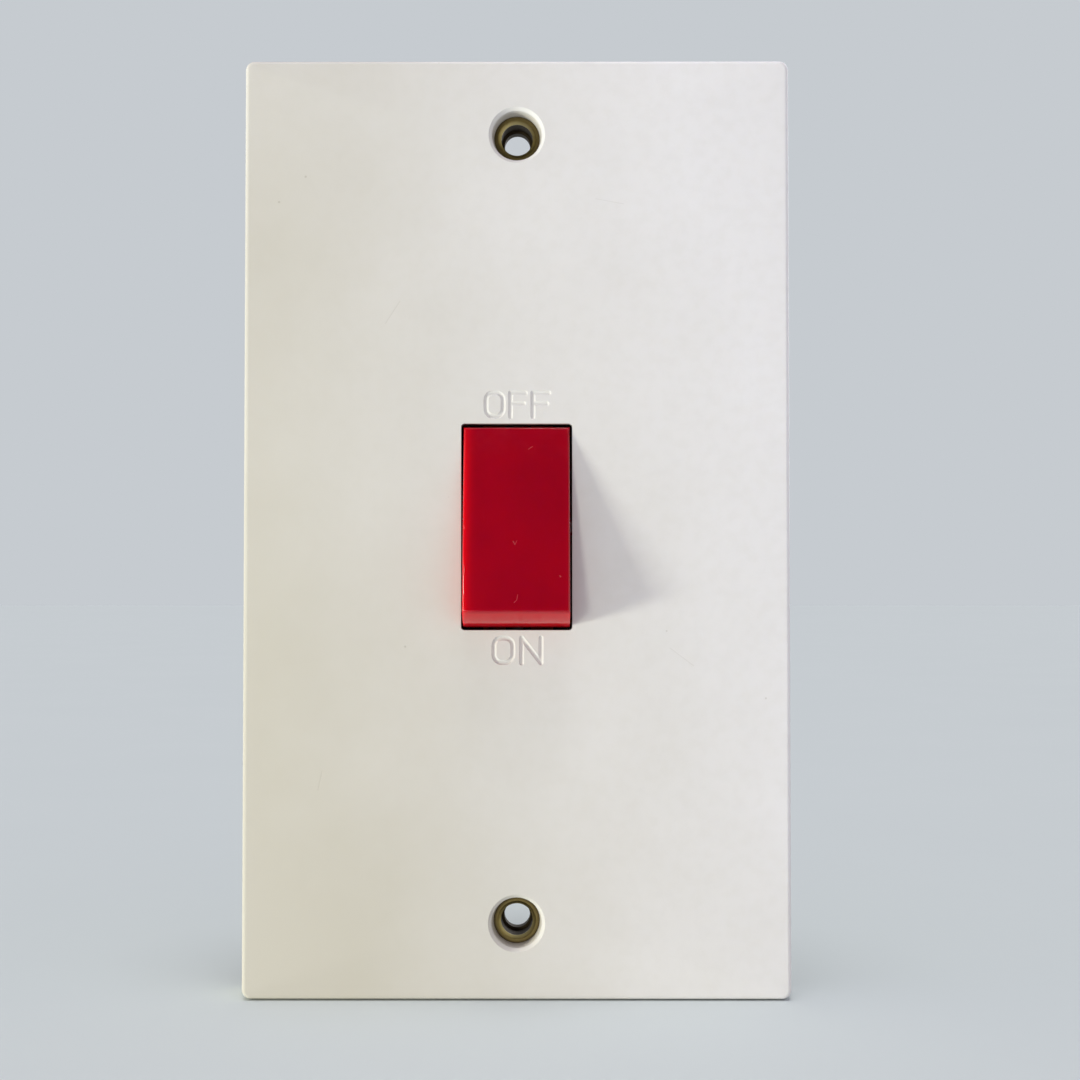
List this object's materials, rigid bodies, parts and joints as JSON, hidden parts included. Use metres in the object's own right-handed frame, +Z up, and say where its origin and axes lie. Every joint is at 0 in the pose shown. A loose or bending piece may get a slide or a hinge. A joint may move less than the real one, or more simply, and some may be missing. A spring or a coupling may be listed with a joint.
{
  "type": "cooker control switch",
  "caption": "Double-pole rocker switch on a tall square-edged white wall plate, with brass-bushed fixing holes and tunnel terminals behind.",
  "frame": {"origin": "middle of the plate on the wall plane, half way between the two fixing holes", "axes": "+X right, +Y into the wall, +Z up, with OFF at the top"},
  "size_m": [0.084, 0.0373, 0.144],
  "materials": {
    "white_plate": "smooth moulded white urea, slightly yellowed",
    "red_rocker": "polished red, small nicks",
    "bush_brass": "dull turned brass",
    "terminal_brass": "bright milled brass",
    "screw_steel": "zinc plated",
    "spring_steel": "drawn wire",
    "copper": "bare rolled copper",
    "silver": "bright silver face",
    "nylon": "natural nylon",
    "black_moulding": "black moulded, slight sheen"
  },
  "bodies": {
    "switch_body": {"front_plate": "white_plate", "upper_screw_bush": "bush_brass", "lower_screw_bush": "bush_brass", "rocker_carrier": "black_moulding", "switch_base": "black_moulding", "terminal_screws": "screw_steel", "carrier_screws": "screw_steel", "plate_screws": "screw_steel", "earth_strap": "terminal_brass", "earth_terminal": "terminal_brass", "earth_terminal_screws": "screw_steel", "live_fixed_contact": "silver", "live_supply_strip": "copper", "live_load_strip": "copper", "live_load_terminal": "terminal_brass", "live_supply_terminal": "terminal_brass", "neutral_fixed_contact": "silver", "neutral_supply_strip": "copper", "neutral_load_strip": "copper", "neutral_load_terminal": "terminal_brass", "neutral_supply_terminal": "terminal_brass"},
    "rocker": {"rocker": "red_rocker", "live_plunger_spring": "spring_steel", "neutral_plunger_spring": "spring_steel"},
    "live_plunger": {"live_plunger": "nylon"},
    "live_arm": {"live_contact_arm": "copper", "live_moving_contact": "silver"},
    "neutral_plunger": {"neutral_plunger": "nylon"},
    "neutral_arm": {"neutral_contact_arm": "copper", "neutral_moving_contact": "silver"}
  },
  "joints": [
    {"name": "rocker_hinge", "type": "hinge", "parent": "switch_body", "child": "rocker", "pos_m": [0, -0.0045, 0], "axis": [1, 0, 0], "range_deg": [0, 21]},
    {"name": "live_plunger_slide", "type": "slide", "parent": "rocker", "child": "live_plunger", "axis": [0, -0.9833, 0.1822], "range_m": [0, 0.0015], "stiffness_N_per_m": 250, "deforming": ["live_plunger_spring"]},
    {"name": "live_arm_hinge", "type": "hinge", "parent": "switch_body", "child": "live_arm", "pos_m": [-0.0039, 0.0055, 0], "axis": [1, 0, 0], "range_deg": [-18, 0]},
    {"name": "neutral_plunger_slide", "type": "slide", "parent": "rocker", "child": "neutral_plunger", "axis": [0, -0.9833, 0.1822], "range_m": [0, 0.0015], "stiffness_N_per_m": 250, "deforming": ["neutral_plunger_spring"]},
    {"name": "neutral_arm_hinge", "type": "hinge", "parent": "switch_body", "child": "neutral_arm", "pos_m": [0.0039, 0.0055, 0], "axis": [1, 0, 0], "range_deg": [-18, 0]}
  ],
  "couplings": [
    {"joint": "live_arm_hinge", "follows": "rocker_hinge", "ratio": -0.85714},
    {"joint": "neutral_arm_hinge", "follows": "rocker_hinge", "ratio": -0.85714}
  ]
}
